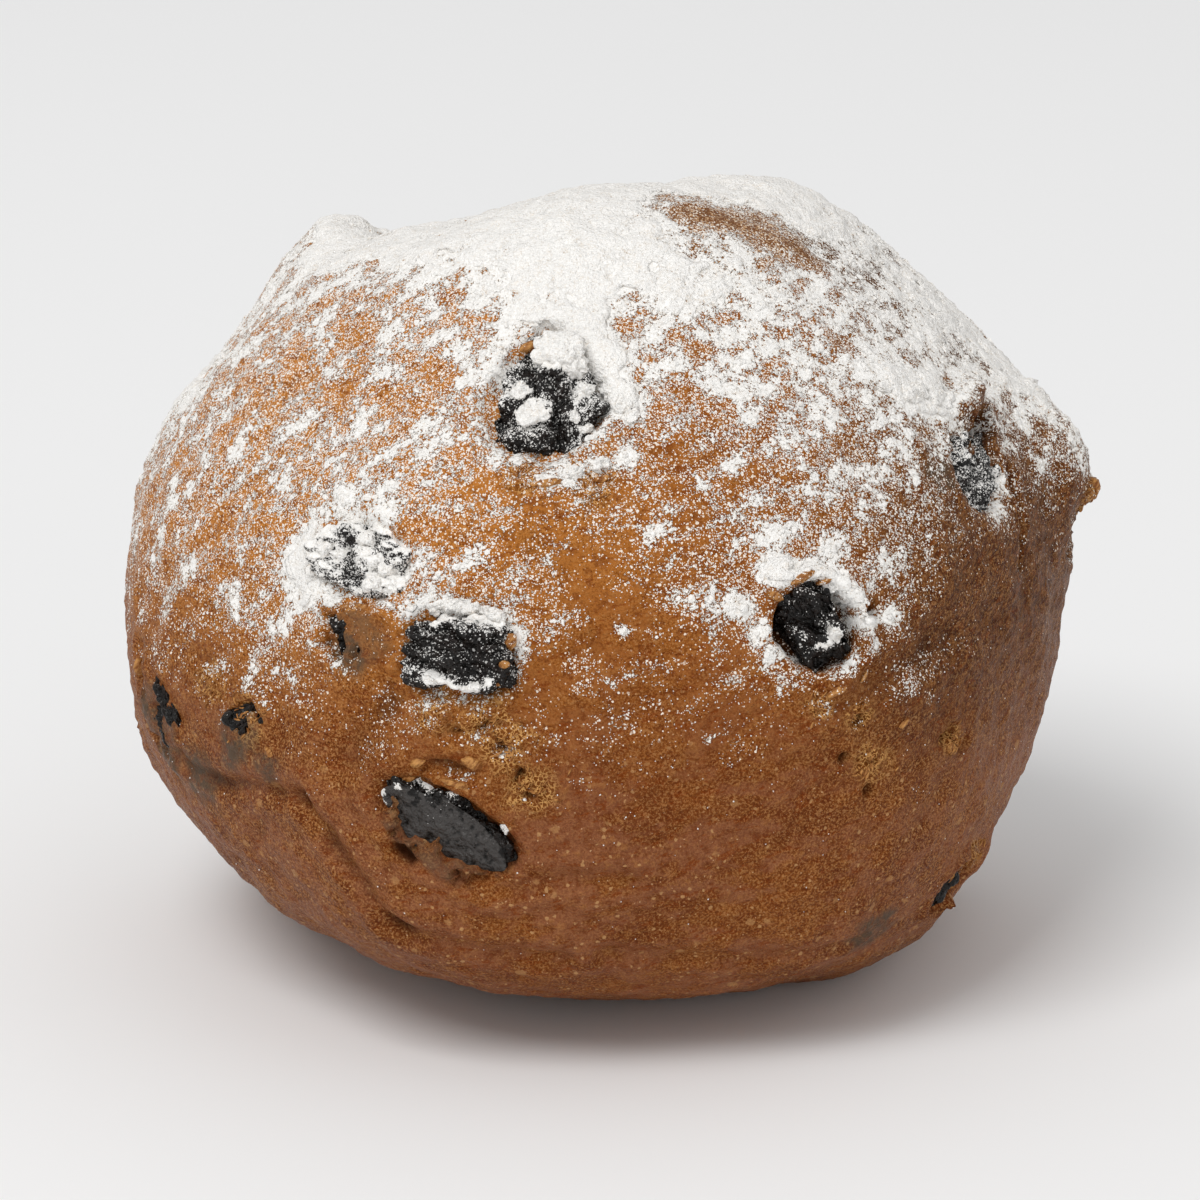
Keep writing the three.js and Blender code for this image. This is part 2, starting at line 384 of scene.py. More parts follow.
# Sugar covers a share of the dough, more the higher it is, and more or less in patches where it drifted, slid
# off or was touched: azimuth, elevation, spread in degrees, and share.
SUGAR_PATCHES = [
    (29, 68.5, 6.5, -0.75),  # touched bare on the crown
    (43, 67, 7.5, -0.7),
    (54, 63, 5.5, -0.58),
    (58, 58, 3.5, -0.6),
    (72, 50, 17, -0.12),  # thin down the right of the crown
    (-74, 30, 9, -0.16),  # far left
    (-70, 12, 9, 0.1),  # low on the left
    (-31, 8.5, 3.6, -0.7),  # bare flap over raisin_03
    (96, 28, 15, 0.4),  # round the torn tip
    (72, 38, 10, 0.24),  # right shoulder
    (-46, 42, 13, -0.38),  # thin on the left shoulder
    (-24, 38, 9, -0.2),  # thin beside raisin_01
    (-97, 22, 14, 0.5),  # left side
    (-42, 14, 10, 0.26),  # round raisin_02
    (-12, 13, 6, 0.25),  # over raisin_04
    (-8, 26, 12, -0.25),  # thin between the raisins
    (12, 30, 12, -0.25),  # thin above raisin_08
    (0, 12, 9, -0.2),  # bare in the valley
    (66, 9, 22, -0.34),  # bare on the right side
    (56, 22, 9, -0.1),  # thin round raisin_09
    (69, 26.6, 2.4, -0.9),  # hole over raisin_09
    (56, 34, 6, 0.3),  # over raisin_09
    (22, 17, 6, 0.25),  # rim of raisin_08
    (150, 44, 14, -0.35),  # back, high
    (-140, 14, 16, 0.3),  # back, left
    (118, 12, 14, -0.2),  # back, right
]
# Small drifts that caught on the lips and edges round the raisins, given in the same way.
CAUGHT = [
    (19.6, 16.4, 1.5, 0.9), (22.4, 16.4, 1.5, 1.3), (25.6, 15.7, 1.4, 1.4), (28.5, 14, 1.3, 1.4),
    (30.2, 11.8, 1.2, 1.4), (31.4, 9.2, 1, 1.3), (31.8, 6.4, 0.8, 0.9), (16.4, 12, 2, 0.8),
    (18, 9, 1.5, 0.8), (19.3, 6.4, 1.3, 0.7), (20.8, 3.6, 1.3, 0.6), (34.8, 9.2, 1.1, 0.8),
    (14.7, 4, 1, 0.7), (-23.2, 11.4, 1.2, 0.8), (-21.2, 12.9, 1.2, 0.8), (-18.6, 13.3, 1.2, 0.85),
    (-16, 12.4, 1.2, 0.85), (-13.4, 11.1, 1.2, 0.85), (-11, 9.6, 1.5, 0.9), (-10.2, 7.2, 1.1, 0.7),
    (-36, 22, 2.4, 0.6), (-31, 20.8, 2, 0.7), (-27, 18, 1.8, 0.8), (-41, 18.5, 2.2, 0.6),
    (-42.5, 14, 2.4, 0.8), (-40, 10.4, 2.2, 0.8), (-28.4, 14.2, 1.4, 0.6), (-25.6, 15.6, 1.4, 0.6),
    (-1, 43.5, 3, 0.7), (3, 38.5, 2.4, 0.8), (-17.6, 42, 2.2, 0.6), (-8.5, 51, 4, 0.7),
    (-1, 30, 1.4, 0.8), (-4.4, 28.8, 1.4, 0.8), (-8, 27.6, 1.3, 0.7), (2.4, 31.4, 1.3, 0.8),
    (-4.4, 34.6, 1.6, 0.6), (59.6, 33, 3, 0.8), (53, 35, 3, 0.7), (62.5, 17, 1.6, 0.6),
    (37.5, 1, 1.5, 0.45), (40.5, -1.5, 1.3, 0.35), (2, 10, 0.9, 0.6), (-3.2, 3.2, 0.8, 0.5),
    (-53, 8, 2, 0.5), (-46.5, 2, 1.6, 0.5), (133, 32, 3, 0.8), (177, 20, 3, 0.8),
    (-147, 32, 3, 0.7),
]


def share_added(points, marks):
    """How much more or less sugar each point gets from such patches."""
    out = ways(points)
    added = np.zeros(len(points))
    for azimuth, elevation, spread, more in marks:
        added += more * np.exp(-((degrees_from(out, azimuth, elevation) / spread) ** 2))
    return added


SUGAR_FROM, SUGAR_FULL = -4, 53  # elevations between which sugar goes from none to all, in degrees


def sugar_share(points, facing):
    """The share of the surface that sugar covers at each point, from its place and the way it faces."""
    share = (elevation_of(points) - SUGAR_FROM) / (SUGAR_FULL - SUGAR_FROM)
    share += share_added(points, SUGAR_PATCHES + CAUGHT)
    share += 0.12 * ripples(points, 8, 2, 71)
    share += 0.5 * (facing[:, 2] - ways(points)[:, 2])
    return np.clip(share, 0, 1) * smoothstep(-16, 4, elevation_of(points) + 8 * ripples(points, 9, 2, 97))


def drifts(points):
    """Noise in slanting streaks, made by squeezing the points along the streaks' lean."""
    lean = np.array((0.75, 0.0, 0.66))
    return ripples(points - 0.4 * np.outer(points @ lean, lean), 2.0, 3, 83)


def sugar_level(points, share):
    """How far over bare the sugar stands, in standard deviations of its unevenness."""
    steps = np.array([NormalDist().inv_cdf(min(max(0.998 * part, 0.0004), 0.9996)) for part in share])
    return steps + 0.62 * drifts(points) / DRIFT_SPREAD - 0.48


def paint(mesh, name, values):
    """Writes one number for each of the mesh's points, for its material to read."""
    mesh.attributes.new(name, "FLOAT", "POINT").data.foreach_set("value", values.astype(np.float32))


def new_object(name, data):
    """An object of that data, in the scene."""
    made = bpy.data.objects.new(name, data)
    bpy.context.scene.collection.objects.link(made)
    return made


DRIFT_SPREAD = drifts(smooth_points).std()
share = sugar_share(dough_points, dough_normals)
level = sugar_level(dough_points, share)
up = elevation_of(dough_points)
on_left = smoothstep(0, 15 * MM, -dough_points[:, 0]) * smoothstep(18, 32, up)
dust_share = share + 0.12 * smoothstep(-8, 10, up) + 0.4 * smoothstep(48, 60, up) + 0.14 * on_left
dough_mesh = bpy.data.meshes.new("fried_dough")
ball.to_mesh(dough_mesh)
dough_mesh.polygons.foreach_set("use_smooth", [True] * len(dough_mesh.polygons))
paint(dough_mesh, "sugar", level)
paint(dough_mesh, "dusting", np.clip(dust_share, 0, 1))
paint(dough_mesh, "stain", stain)
paint(dough_mesh, "torn", torn)
# Painted shade: darker in the holes and folds, the deeper they go.
paint(dough_mesh, "hollow", np.clip(-height / 1.5, -1, 1))
paint(dough_mesh, "height", up)
dough = new_object("fried_dough", dough_mesh)


class Finish:
    """A material's nodes, added one at a time: each call returns the new node's result."""

    def __init__(self, name):
        self.material = bpy.data.materials.new(name)
        self.material.use_nodes = True
        self.nodes = self.material.node_tree.nodes
        self.links = self.material.node_tree.links
        self.skin = self.nodes["Principled BSDF"]
        self.place = self.add("ShaderNodeTexCoord").outputs["Object"]
        self.uneven = None
        self.cells_made = {}

    def add(self, kind, settings=None, **inputs):
        """Adds a node. Its inputs go by name, or by number after an underscore."""
        new = self.nodes.new(kind)
        for key, value in (settings or {}).items():
            setattr(new, key, value)
        for key, value in inputs.items():
            socket = new.inputs[int(key[1:])] if key[0] == "_" else new.inputs[key]
            if isinstance(value, bpy.types.NodeSocket):
                self.links.new(value, socket)
            else:
                socket.default_value = value
        return new

    def paint(self, name):
        return self.add("ShaderNodeAttribute", {"attribute_name": name}).outputs["Fac"]

    def turned(self, stretch, lean=0):
        """The place squeezed by so much along each axis, after a lean to the right in degrees."""
        leaning = self.add("ShaderNodeMapping", Vector=self.place, Rotation=(0, math.radians(lean), 0))
        return self.add("ShaderNodeMapping", Vector=leaning.outputs[0], Scale=stretch).outputs[0]

    def shaken(self, reach):
        """The place moved about by so many mm, which makes the edges of cells uneven."""
        if self.uneven is None:
            uneven = self.add("ShaderNodeTexNoise", Vector=self.place, Scale=1 / (0.3 * MM), Detail=1.0)
            self.uneven = uneven.outputs["Color"]
        inputs = {"_0": self.uneven, "_1": (reach * MM,) * 3, "_2": self.place}
        return self.add("ShaderNodeVectorMath", {"operation": "MULTIPLY_ADD"}, **inputs).outputs[0]

    def noise(self, size, detail=2.0, roughness=0.5, place=None):
        """Noise from 0 to 1 with features of that size in mm."""
        inputs = {"Scale": 1 / (size * MM), "Detail": detail, "Roughness": roughness}
        return self.add("ShaderNodeTexNoise", Vector=place or self.place, **inputs).outputs[0]

    def cells(self, size, reach):
        """Three random numbers for each uneven cell of that size in mm, and the distance from its middle."""
        if (size, reach) not in self.cells_made:
            found = self.add("ShaderNodeTexVoronoi", Vector=self.shaken(reach), Scale=1 / (size * MM))
            numbers = self.add("ShaderNodeSeparateColor", Color=found.outputs["Color"]).outputs
            self.cells_made[size, reach] = numbers, found.outputs["Distance"]
        return self.cells_made[size, reach]

    def spots(self, size, reach, rarity, picked_by=0):
        """1 in the middle of scattered spots, in cells of that size in mm, falling to 0 at their edges."""
        numbers, from_middle = self.cells(size, reach)
        inside = self.sum(self.sum(numbers[picked_by], -rarity), from_middle, -1.0)
        return self.ramp(inside, 0.0, 0.12)

    def ramp(self, value, low, high, to_low=0.0, to_high=1.0):
        """A smooth step of the value, from to_low at low to to_high at high."""
        inputs = {"_0": value, "_1": low, "_2": high, "_3": to_low, "_4": to_high}
        return self.add("ShaderNodeMapRange", {"interpolation_type": "SMOOTHSTEP"}, **inputs).outputs[0]

    def math(self, operation, a, b):
        return self.add("ShaderNodeMath", {"operation": operation}, _0=a, _1=b).outputs[0]

    def times(self, a, b):
        return self.math("MULTIPLY", a, b)

    def sum(self, a, b, weight=1.0):
        """a, and so many times b."""
        return self.add("ShaderNodeMath", {"operation": "MULTIPLY_ADD"}, _0=b, _1=weight, _2=a).outputs[0]

    def mix(self, amount, first, second):
        """From the first colour to the second as the amount goes from 0 to 1."""
        return self.add("ShaderNodeMix", {"data_type": "RGBA"}, _0=amount, _6=first, _7=second).outputs[2]

    def relief(self, *parts):
        """The height in mm of parts that are each a value of about a half, and how many mm it swings."""
        height = 0.0
        for value, swing in parts:
            height = self.sum(self.sum(height, value, swing), -0.5, swing)
        return height


SUGAR_WHITE = (0.86, 0.845, 0.815, 1)
SUGAR_GRAIN = (0.93, 0.91, 0.88, 1)
SUGAR_THIN = (0.89, 0.79, 0.67, 1)  # with the crust showing through
LONE_GRAIN = (0.93, 0.8, 0.66, 1)
POWDER_PAINTED_SHADE = (0.7, 0.59, 0.47, 1)  # painted shade between its crumbs
HAZE = (0.62, 0.25, 0.05, 1)  # the finest dust, melting into the crust
GRAIN_LAYERS = ((0.15, 1.5), (0.26, 1.05))  # the size of a grain's cell in mm, and how often it is filled
GRAIN_SHAKE = 0.12  # mm


def dust_with_sugar(
    finish, colour, roughness, relief, haze=HAZE, coat=SUGAR_THIN, lone=LONE_GRAIN, filled=0.85
):
    """Sugar over a finish, as much as its paint asks for: crumbly drifts, and fine grains round them.
    It fills the finish's own relief by the given share."""
    ragged = finish.noise(0.95, 4.0, 0.76, finish.turned((0.8, 1, 1.1), 45))
    crumbly = finish.noise(0.24, 2.0, 0.7)
    depth = finish.sum(finish.sum(finish.paint("sugar"), ragged, 6.6), -3.3)
    depth = finish.sum(finish.sum(depth, crumbly, 4.4), -2.2)
    cover = finish.ramp(depth, -0.1, 0.3)
    density = finish.times(finish.ramp(depth, -2.8, -0.2, 0.3, 1.0), finish.paint("dusting"))
    grains = None
    for size, often in GRAIN_LAYERS:
        random, from_middle = finish.cells(size, GRAIN_SHAKE)
        picked = finish.ramp(finish.sum(finish.sum(random[0], density, often), -1.0), 0.0, 0.06)
        reach = finish.sum(finish.sum(0.22, random[1], 0.33), from_middle, -1.0)
        grain = finish.times(picked, finish.ramp(reach, -0.03, 0.06))
        grains = finish.math("MAXIMUM", grains, grain) if grains else grain
    powder = finish.mix(finish.ramp(depth, 0.0, 0.9), coat, SUGAR_WHITE)
    powder = finish.mix(finish.ramp(ragged, 0.52, 0.34, 0.0, 0.35), powder, coat)
    # Painted shade in the low places between the crumbs.
    powder = finish.mix(finish.ramp(crumbly, 0.5, 0.34, 0.0, 0.32), powder, POWDER_PAINTED_SHADE)
    covered = finish.mix(cover, finish.mix(finish.times(density, 0.12), colour, haze), powder)
    grain_colour = finish.mix(finish.ramp(depth, -2.2, 0.3), lone, SUGAR_GRAIN)
    finish.links.new(finish.mix(grains, covered, grain_colour), finish.skin.inputs["Base Color"])
    white = finish.math("MAXIMUM", cover, grains)
    finish.links.new(finish.sum(roughness, white, 0.5), finish.skin.inputs["Roughness"])
    height = finish.times(relief, finish.sum(1.0, cover, -filled))
    height = finish.sum(finish.sum(height, finish.ramp(depth, -0.3, 2.0), 0.07), cover, 0.014)
    bump = finish.add("ShaderNodeBump", Height=height, Distance=MM, Strength=1.0)
    finish.links.new(bump.outputs[0], finish.skin.inputs["Normal"])


crust = Finish("fried_crust")
# Noises and spots, the coarsest first.
broad = crust.noise(9, 2.0, 0.6)
# A duller, greyer film over the crust, its colour partly the crust's own and partly painted sheen.
film_and_sheen = crust.ramp(crust.noise(4.5, 3.0, 0.7, crust.turned((0.7, 0.7, 1.3))), 0.43, 0.57)
mottle = crust.noise(1.1, 3.0, 0.68)
streaks = crust.noise(0.9, 3.0, 0.68, crust.turned((0.5, 0.5, 1.4), 12))
slants = crust.noise(0.5, 3.0, 0.7, crust.turned((0.45, 0.5, 1.3), 40))
grit = crust.noise(0.21, 3.0, 0.8)
blisters = crust.spots(1.5, 0.5, 0.62)
specks = crust.spots(0.6, 0.3, 0.6)
pits = crust.spots(0.6, 0.3, 0.72, picked_by=1)
flakes = crust.spots(0.34, 0.3, 0.72)
pores = crust.spots(0.34, 0.3, 0.76, picked_by=1)
cell_edges = {"feature": "DISTANCE_TO_EDGE"}
walls = crust.add("ShaderNodeTexVoronoi", cell_edges, Vector=crust.shaken(0.6), Scale=1 / (0.46 * MM))
walls = walls.outputs["Distance"]
# Parts of the ball.
tall = crust.paint("height")
upper = crust.ramp(tall, -12, 28)
lower = crust.ramp(tall, 6, -20)
sideways = crust.add("ShaderNodeSeparateXYZ", Vector=crust.place).outputs[0]
left = crust.ramp(sideways, 12 * MM, -30 * MM)
right = crust.times(crust.ramp(sideways, 12 * MM, 30 * MM), crust.sum(1.0, lower, -1.0))
aside = crust.ramp(crust.math("ABSOLUTE", sideways, 0.0), 8 * MM, 28 * MM)
gritty = crust.sum(crust.sum(crust.sum(0.76, film_and_sheen, -0.5), aside, 0.42), lower, 0.1)
cracked = crust.mix(crust.ramp(walls, 0.3, 0.1), (0.64, 0.41, 0.23, 1), (0.17, 0.065, 0.02, 1))
# The torn crumb's pale cell walls, with painted shade in the holes between them.
crumb = crust.mix(crust.ramp(walls, 0.16, 0.02), (0.17, 0.048, 0.005, 1), (0.68, 0.36, 0.12, 1))

# What lies over the browned and amber ground, one after another: how much of it, and its colour.
colour = crust.mix(crust.ramp(broad, 0.36, 0.64), (0.17, 0.042, 0.006, 1), (0.25, 0.074, 0.012, 1))
CRUST_LAYERS = [
    (crust.times(film_and_sheen, crust.sum(0.3, lower, 0.5)), (0.27, 0.098, 0.043, 1)),  # dull film, its greyer colour partly the crust's own and partly painted sheen
    (crust.times(upper, crust.sum(0.5, left, 0.5)), (0.5, 0.165, 0.018, 1)),  # painted light: lighter and golden above, most of all at the upper left, where the key lamp falls
    (crust.times(crust.times(upper, left), 0.55), (0.72, 0.29, 0.06, 1)),
    (crust.times(right, 0.88), (0.066, 0.016, 0.002, 1)),  # painted shade: darker at the right, which faces away from the key lamp
    (crust.ramp(mottle, 0.5, 0.38, 0.0, 0.55), (0.15, 0.028, 0.001, 1)),  # mottling
    (crust.ramp(mottle, 0.56, 0.66, 0.0, 0.35), (0.4, 0.165, 0.045, 1)),
    (crust.ramp(streaks, 0.56, 0.63, 0.0, 0.7), (0.2, 0.036, 0.0, 1)),  # red-brown streaks
    # Slanting streaks at the right: painted light on their ridges, painted shade in their furrows.
    (crust.times(crust.ramp(slants, 0.5, 0.56), crust.sum(0.06, right, 0.7)), (0.22, 0.083, 0.022, 1)),
    (crust.times(crust.ramp(slants, 0.48, 0.42), crust.times(right, 0.8)), (0.055, 0.012, 0.001, 1)),
    (crust.times(crust.times(crust.ramp(grit, 0.52, 0.58), gritty), 0.45), (0.56, 0.29, 0.11, 1)),  # grit
    (crust.times(crust.times(crust.ramp(grit, 0.48, 0.42), gritty), 0.68), (0.09, 0.016, 0.001, 1)),
    (crust.ramp(tall, 52, 60, 0.0, 0.88), cracked),  # the dry crown
    (crust.times(pits, 0.6), (0.2, 0.032, 0.0, 1)),
    # Painted shade in the tiny pores.
    (crust.times(pores, 0.75), (0.06, 0.01, 0.001, 1)),
    (crust.times(flakes, 0.7), (0.72, 0.45, 0.24, 1)),
    (crust.times(specks, crust.sum(0.2, lower, 0.5)), (0.56, 0.31, 0.13, 1)),
    (crust.times(blisters, crust.sum(0.1, lower, 0.42)), (0.5, 0.26, 0.1, 1)),
    (crust.times(crust.paint("torn"), crust.ramp(mottle, 0.4, 0.54, 0.2, 0.95)), crumb),
    (crust.ramp(crust.paint("hollow"), 0.15, 0.9, 0.0, 0.94), (0.035, 0.008, 0.001, 1)),  # painted shade in holes and folds
    (crust.times(crust.paint("stain"), crust.ramp(mottle, 0.35, 0.6, 0.35, 0.9)), (0.085, 0.062, 0.042, 1)),
]
for amount, layer_colour in CRUST_LAYERS:
    colour = crust.mix(amount, colour, layer_colour)
relief = crust.relief(
    (mottle, 0.5), (crust.sum(grit, streaks, -1.0), 0.18), (crust.times(slants, right), 0.7)
)
crust.skin.inputs["Specular IOR Level"].default_value = 0.08
dust_with_sugar(crust, colour, crust.ramp(mottle, 0.3, 0.7, 0.32, 0.48), relief)
dough_mesh.materials.append(crust.material)
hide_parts("dough")
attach(dough, "root")

# ---- The raisins ----
# Sun-dried raisins, soaked and kneaded into the dough. Where they break the surface, the hot oil shrinks
# their near-black skin into rounded folds with sharp creases between them.

# How much of a raisin's upper side sugar covers, and how fine the rest is dusted.
RAISIN_SUGAR = {
    "raisin_01": (0.3, 0.7), "raisin_02": (0.9, 0.95), "raisin_03": (0.1, 0.2), "raisin_04": (0.12, 0.55),
    "raisin_05": (0, 0.05), "raisin_06": (0, 0.05), "raisin_07": (0, 0.05), "raisin_08": (0.06, 0.2),
    "raisin_09": (0.2, 0.8), "raisin_10": (0, 0), "raisin_11": (0, 0.2), "raisin_12": (0.3, 0.7),
    "raisin_13": (0, 0.1), "raisin_14": (0.2, 0.6), "raisin_15": (0, 0), "raisin_16": (0.3, 0.7),
    "raisin_17": (0.05, 0.3), "raisin_18": (0.5, 0.9),
}
# Where it lies thick on them and where they are bare: azimuth, elevation, spread in degrees, and share.
CAUGHT_ON_RAISINS = [
    (-18.4, 12.2, 1.6, 1.3), (-15.4, 12.2, 1.7, 1.3), (-12.2, 11.4, 1.5, 1), (-20, 10.4, 1, 0.9),
    (-19.9, 4.6, 0.9, 1.3), (-18.4, 3.8, 0.8, 1.4), (-16.6, 3.4, 0.8, 1.4), (-14.8, 3.7, 0.8, 1.3),
    (-13.2, 4.5, 0.8, 1.1), (-16.4, 7.6, 2.2, -0.3), (26.8, 9.4, 0.8, 0.9), (28.7, 10.8, 0.9, 1),
    (24.6, 7.2, 0.8, 1), (26.2, 7.4, 0.7, 0.9), (27.6, 8.2, 0.8, 1), (23.4, 8.4, 0.5, 0.7),
    (-34.5, 19.3, 0.8, -0.8), (-33, 18.4, 1, -0.9), (-35.6, 13.4, 0.8, -0.8), (-31.6, 15.2, 1.6, -0.45),
    (-29.8, 18, 0.6, -0.6), (-27.6, 16.6, 0.6, -0.5), (-30, 12.4, 1.2, -0.3), (-10.8, 36.6, 2, 0.9),
    (-8.2, 43.8, 2.4, 1), (-3.6, 39.6, 1.6, 0.6), (-13.6, 38.8, 1.2, 0.6), (-9.6, 40.2, 1.5, -0.9),
    (-12.6, 41.4, 1.4, -0.8), (-7, 38.4, 1.3, -0.7), (-8.6, 34.4, 2, -0.4), (-27, -10.2, 1.2, 1.1),
    (-24, -8.8, 1.2, 1.1), (-21, -8.4, 1.2, 1.1), (-18, -9.1, 1.1, 1), (-15.4, -10.8, 1, 0.8),
    (-13.2, -12.6, 0.8, 0.6), (66, 19.5, 3, 0.25), (68.6, 26.2, 1.6, -1),
]
# How much is left of the height that a raisin has over its seat's top, and where it is scraped nearly flat.
SQUEEZE = 0.35
FLAT_TOPPED = {"raisin_05": 0.06, "raisin_13": 0.1, "raisin_17": 0.1}
RAISIN_CLEAR = 20  # mm from a raisin's middle, past all of it
# Sides pressed flat: the way each faces, in degrees from level right, and how much of the raisin it leaves.
PRESSED = {
    "raisin_09": [(85, 0.6)],
    "raisin_04": [(-95, 0.7), (12, 0.82), (100, 0.72), (165, 0.86)],
    "raisin_08": [(28, 0.72), (-150, 0.8), (205, 0.8), (-75, 0.85)],
    "raisin_01": [(-100, 0.8), (170, 0.82), (30, 0.85)],
    "raisin_02": [(-80, 0.82), (120, 0.85)],
}
# Wider or narrower than its seat: sideways and uphill.
STRETCHED = {
    "raisin_02": (1.1, 0.95), "raisin_04": (1.14, 0.95), "raisin_08": (0.84, 0.9), "raisin_09": (1.35, 1.0),
}

raisin_skin = Finish("raisin_skin")
folds = raisin_skin.noise(1.0, 3.0, 0.65)
grain = raisin_skin.noise(0.35, 2.0)
crease_shading = raisin_skin.ramp(folds, 0.4, 0.7)
# Painted sheen: a lighter grey on the folds of the flat tops.
painted_sheen = raisin_skin.times(raisin_skin.paint("scraped"), raisin_skin.ramp(folds, 0.36, 0.5))
# Painted shade: darker in the creases between the folds.
dark = raisin_skin.mix(crease_shading, (0.003, 0.0022, 0.0016, 1), (0.012, 0.007, 0.005, 1))
dark = raisin_skin.mix(painted_sheen, dark, (0.05, 0.045, 0.042, 1))
raisin_skin.skin.inputs["Specular IOR Level"].default_value = 0.25
gloss = raisin_skin.ramp(grain, 0.3, 0.7, 0.22, 0.4)
# Sugar looks greyer on the dark skin than on the crust: its haze, its thin coat and its lone grains.
ON_DARK = (0.07, 0.068, 0.066, 1), (0.74, 0.72, 0.69, 1), (0.5, 0.49, 0.47, 1)
dust_with_sugar(raisin_skin, dark, gloss, raisin_skin.relief((folds, 0.8), (grain, 0.1)), *ON_DARK)


def add_mesh(mesh, finish):
    """Makes a mesh an object of its own, in that finish, that rides with the whole."""
    mesh.materials.append(finish.material)
    piece = new_object(mesh.name, mesh)
    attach(piece, "root")
    return piece


def add_piece(name, bm, finish):
    """Makes a finished bmesh such an object, smooth all over."""
    mesh = bpy.data.meshes.new(name)
    bm.to_mesh(mesh)
    mesh.polygons.foreach_set("use_smooth", [True] * len(mesh.polygons))
    return add_mesh(mesh, finish)


def wrinkled_raisin(node, seed):
    """A raisin of the node's shape and place, its skin folded, its top no higher than its seat allows."""
    middle, along, _, out, _ = raisin_frame(node)
    skin = BVHTree.FromBMesh(cad_copy(node))
    raisin = bmesh.new()
    bmesh.ops.create_icosphere(raisin, subdivisions=6, radius=1)
    for v in raisin.verts:
        way = v.co.normalized()
        v.co = skin.ray_cast(Vector(middle) + way * RAISIN_CLEAR * MM, -way)[0]
    relax(raisin, raisin.verts, 12)
    points = places(raisin)
    right, uphill = level_frame(out)
    for axis, factor in zip((right, uphill), STRETCHED.get(node, ())):
        points += np.outer((points - middle) @ axis, axis) * (factor - 1)
    for turn, kept in PRESSED.get(node, []):
        side = right * math.cos(math.radians(turn)) + uphill * math.sin(math.radians(turn))
        reach = (points - middle) @ side
        limit = kept * reach.max()
        points -= np.outer(np.where(reach > limit, 0.85 * (reach - limit), 0), side)
    skin_at = smooth_dough.ray_cast(Vector(middle) + Vector(out) * RAISIN_CLEAR * MM, -Vector(out))[0]
    top = (np.array(skin_at) - middle) @ out + SEATS.get(node, PLAIN_SEAT)[0] * MM
    over = (points - middle) @ out - top
    squeezed = np.where(over > 0, FLAT_TOPPED.get(node, SQUEEZE) * over, over)
    points += np.outer(squeezed - over, out)
    move_to(raisin, points)
    rel = points - middle
    lengthwise = middle + rel - 0.4 * np.outer(rel @ along, along)
    crease = np.abs(ripples(lengthwise, 3.4, 2, 5 * seed)) ** 0.7
    small = np.abs(ripples(lengthwise, 1.3, 3, 7 * seed + 1)) ** 0.8
    depth = np.where((over > 0) & (node in FLAT_TOPPED), 0.25, 1.0)
    lift = depth * (1.5 * crease - 0.85 + 0.9 * small - 0.25)
    points = raised(points, normals(raisin), lift)
    move_to(raisin, points)
    facing = normals(raisin)
    covered, dusted = RAISIN_SUGAR[node]
    upward = smoothstep(-0.4, 0.8, facing[:, 2]) * (0.75 + 1.2 * (crease - 0.35))
    upward = np.maximum(upward, 0.6 * smoothstep(0.7, 1.0, covered))
    coat = np.clip(np.clip(covered * 1.6 * upward, 0, 1) + share_added(points, CAUGHT_ON_RAISINS), 0, 1)
    piece = add_piece("wrinkled_" + node, raisin, raisin_skin)
    paint(piece.data, "sugar", sugar_level(points, coat))
    paint(piece.data, "dusting", np.clip(dusted * (0.4 + upward), 0, 1))
    # The flat tops, where their painted sheen goes.
    paint(piece.data, "scraped", (over > 0) * float(node in FLAT_TOPPED))
    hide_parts(node)
    return raisin


raisins = [wrinkled_raisin(node, seed) for seed, node in enumerate(RAISIN_NODES, start=1)]

# ---- Shreds of crust ----
# Where raisins burst through or the skin tore, thin flaps and strings of paler crumb stand up from the crust.
# They are the same dough, set in the oil as it pulled apart, and each is made as a small uneven lump.

# Azimuth, elevation, length, width, height in mm, and turn in degrees from level right.
SHREDS = [
    (-11.2, 8.8, 1.1, 1.4, 0.6, -15), (-11.3, 6.6, 0.9, 0.7, 0.5, 0), (-12.2, 4.2, 0.6, 0.4, 0.4, 30),
    (24, 15.2, 2.4, 0.8, 0.9, 20), (27, 14.4, 1.6, 0.5, 0.7, 15), (20.3, 13.4, 1.5, 0.8, 0.6, -35),
    (27, 1.9, 2.2, 0.7, 0.5, 25), (30.6, 3.2, 1.4, 0.5, 0.5, 60), (-11.8, 48.9, 1.1, 0.6, 0.5, 50),
    (-13.5, 45.6, 1.8, 0.9, 0.5, 20), (-31.5, 10.6, 3.4, 0.8, 0.6, 10),
    (-22, -6, 1.6, 0.8, 0.5, 20), (-15.4, -5.4, 1.8, 1, 0.6, -20),
    (91.5, 11.2, 1.4, 1.6, 0.7, 0),
    (-43.4, -8.6, 1.2, 0.7, 0.4, -40), (-71.5, -5, 0.7, 1.5, 0.6, 0),
    (-17.2, -8, 2.4, 0.6, 0.4, -12), (-23.5, -8.2, 1.5, 0.6, 0.4, 12), (56.6, -34.2, 1.4, 0.7, 0.5, 0),
    (-8, 27.4, 2.6, 0.7, 0.5, 12), (-0.5, 28.4, 2, 0.6, 0.5, 10), (36.5, -3.6, 1.2, 0.5, 0.4, 45),
    (150, 22, 2, 0.7, 0.6, 30), (-159, -3.4, 1.6, 0.6, 0.5, -30), (116, -10.4, 1.8, 0.6, 0.5, 60),
]
STRINGS_PER_TEAR = 26

dough_and_raisins = bmesh.new()
dough_and_raisins.from_mesh(dough_mesh)
for raisin in raisins:
    skin = bpy.data.meshes.new("raisin_copy")
    raisin.to_mesh(skin)
    dough_and_raisins.from_mesh(skin)
    bpy.data.meshes.remove(skin)
surface = BVHTree.FromBMesh(dough_and_raisins)


